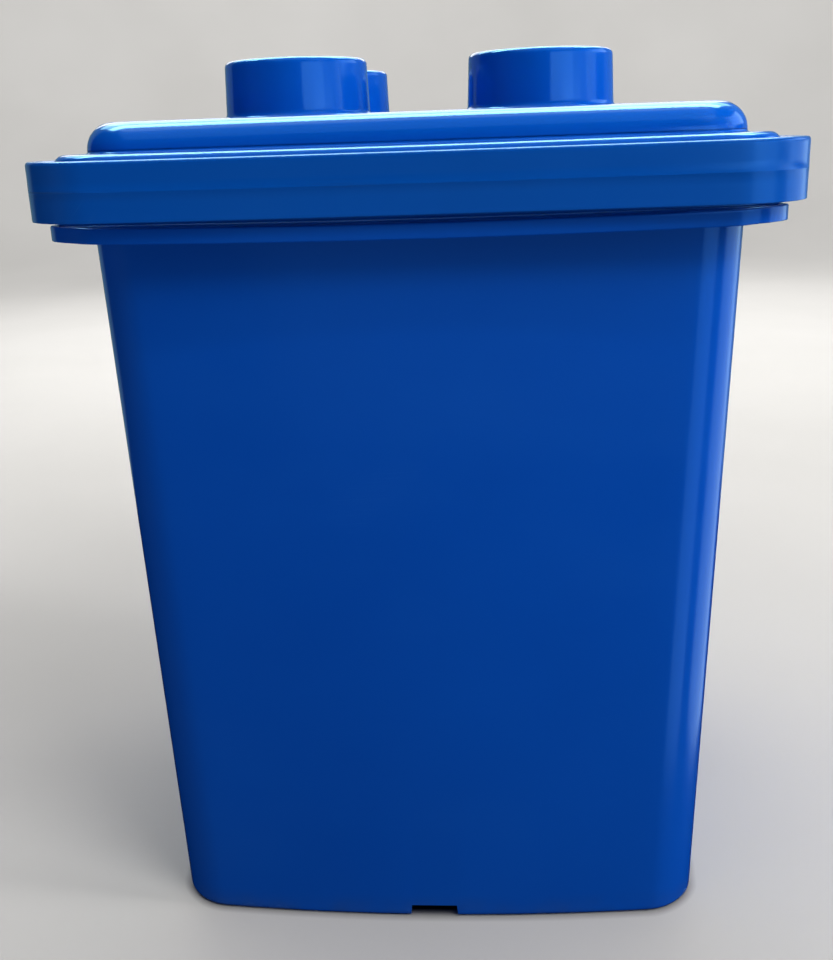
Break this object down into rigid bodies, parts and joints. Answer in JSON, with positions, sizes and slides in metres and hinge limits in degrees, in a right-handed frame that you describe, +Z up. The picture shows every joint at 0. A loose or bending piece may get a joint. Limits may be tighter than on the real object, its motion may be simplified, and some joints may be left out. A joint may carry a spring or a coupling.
{
  "type": "storage tub",
  "caption": "Square tapered plastic storage tub shaped like a toy building brick, with a studded lift-off lid and a flat swinging carry handle.",
  "frame": {"origin": "middle of the base, on the surface that the tub stands on", "axes": "+Z up through the lid; -Y is the front, where the handle lies folded down; +X to the right seen from the front"},
  "size_m": [0.2274, 0.2238, 0.29],
  "materials": {
    "tub_plastic": "satin blue polypropylene with a soft gloss and light scuffs",
    "handle_plastic": "blue polypropylene, slightly duller, finely scratched",
    "lid_plastic": "glossy blue polypropylene"
  },
  "bodies": {
    "tub": {"tub": "tub_plastic"},
    "handle": {"handle": "handle_plastic"},
    "lid": {"lid": "lid_plastic"}
  },
  "joints": [
    {"name": "handle_swing", "type": "hinge", "parent": "tub", "child": "handle", "pos_m": [0, 0, 0.2531], "axis": [-1, 0, 0], "range_deg": [0, 180]},
    {"name": "lid_lift", "type": "slide", "parent": "tub", "child": "lid", "axis": [0, 0, 1], "range_m": [0, 0.06]}
  ]
}
